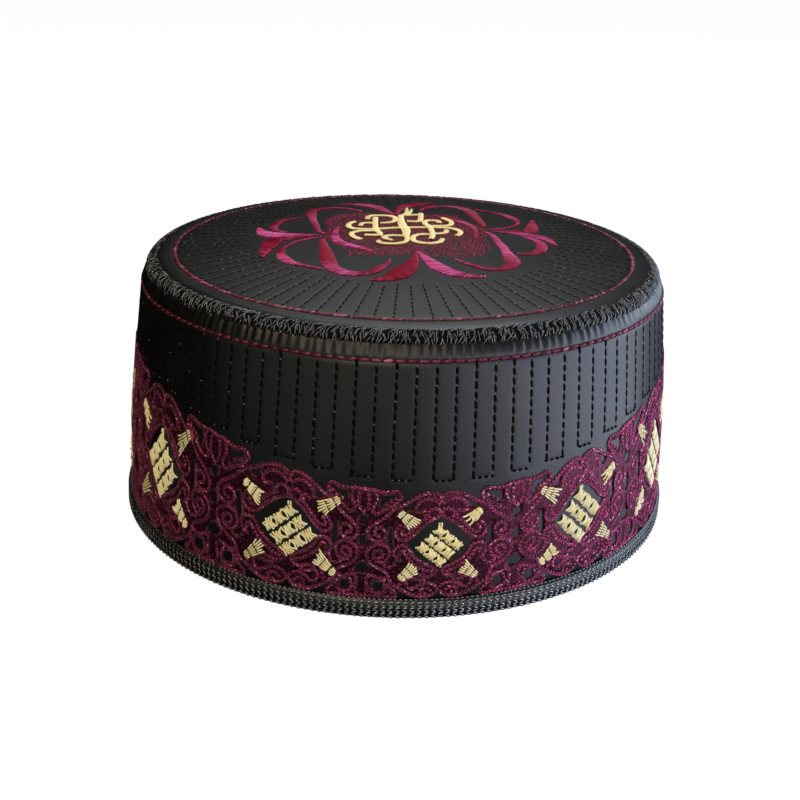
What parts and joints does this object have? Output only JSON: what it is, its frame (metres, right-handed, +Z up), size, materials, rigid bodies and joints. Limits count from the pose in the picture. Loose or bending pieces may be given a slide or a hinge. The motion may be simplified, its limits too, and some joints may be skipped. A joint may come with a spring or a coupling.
{
  "type": "quilted prayer cap",
  "caption": "Round quilted prayer cap with a straight side, a slightly domed top, an overcast crown seam and a bound lower edge.",
  "frame": {"origin": "centre of the lower edge, on the surface that the cap rests on", "axes": "+Z up through the crown, -Y towards the front of the cap"},
  "size_m": [0.1858, 0.186, 0.0892],
  "materials": {
    "charcoal_cloth": "smooth coated cloth with a soft sheen",
    "black_thread": "overcast cotton thread",
    "slate_braid": "knitted braid"
  },
  "bodies": {
    "root": {"side_wall": "charcoal_cloth", "crown_top": "charcoal_cloth", "crown_seam": "black_thread", "hem_binding": "slate_braid"}
  },
  "joints": []
}
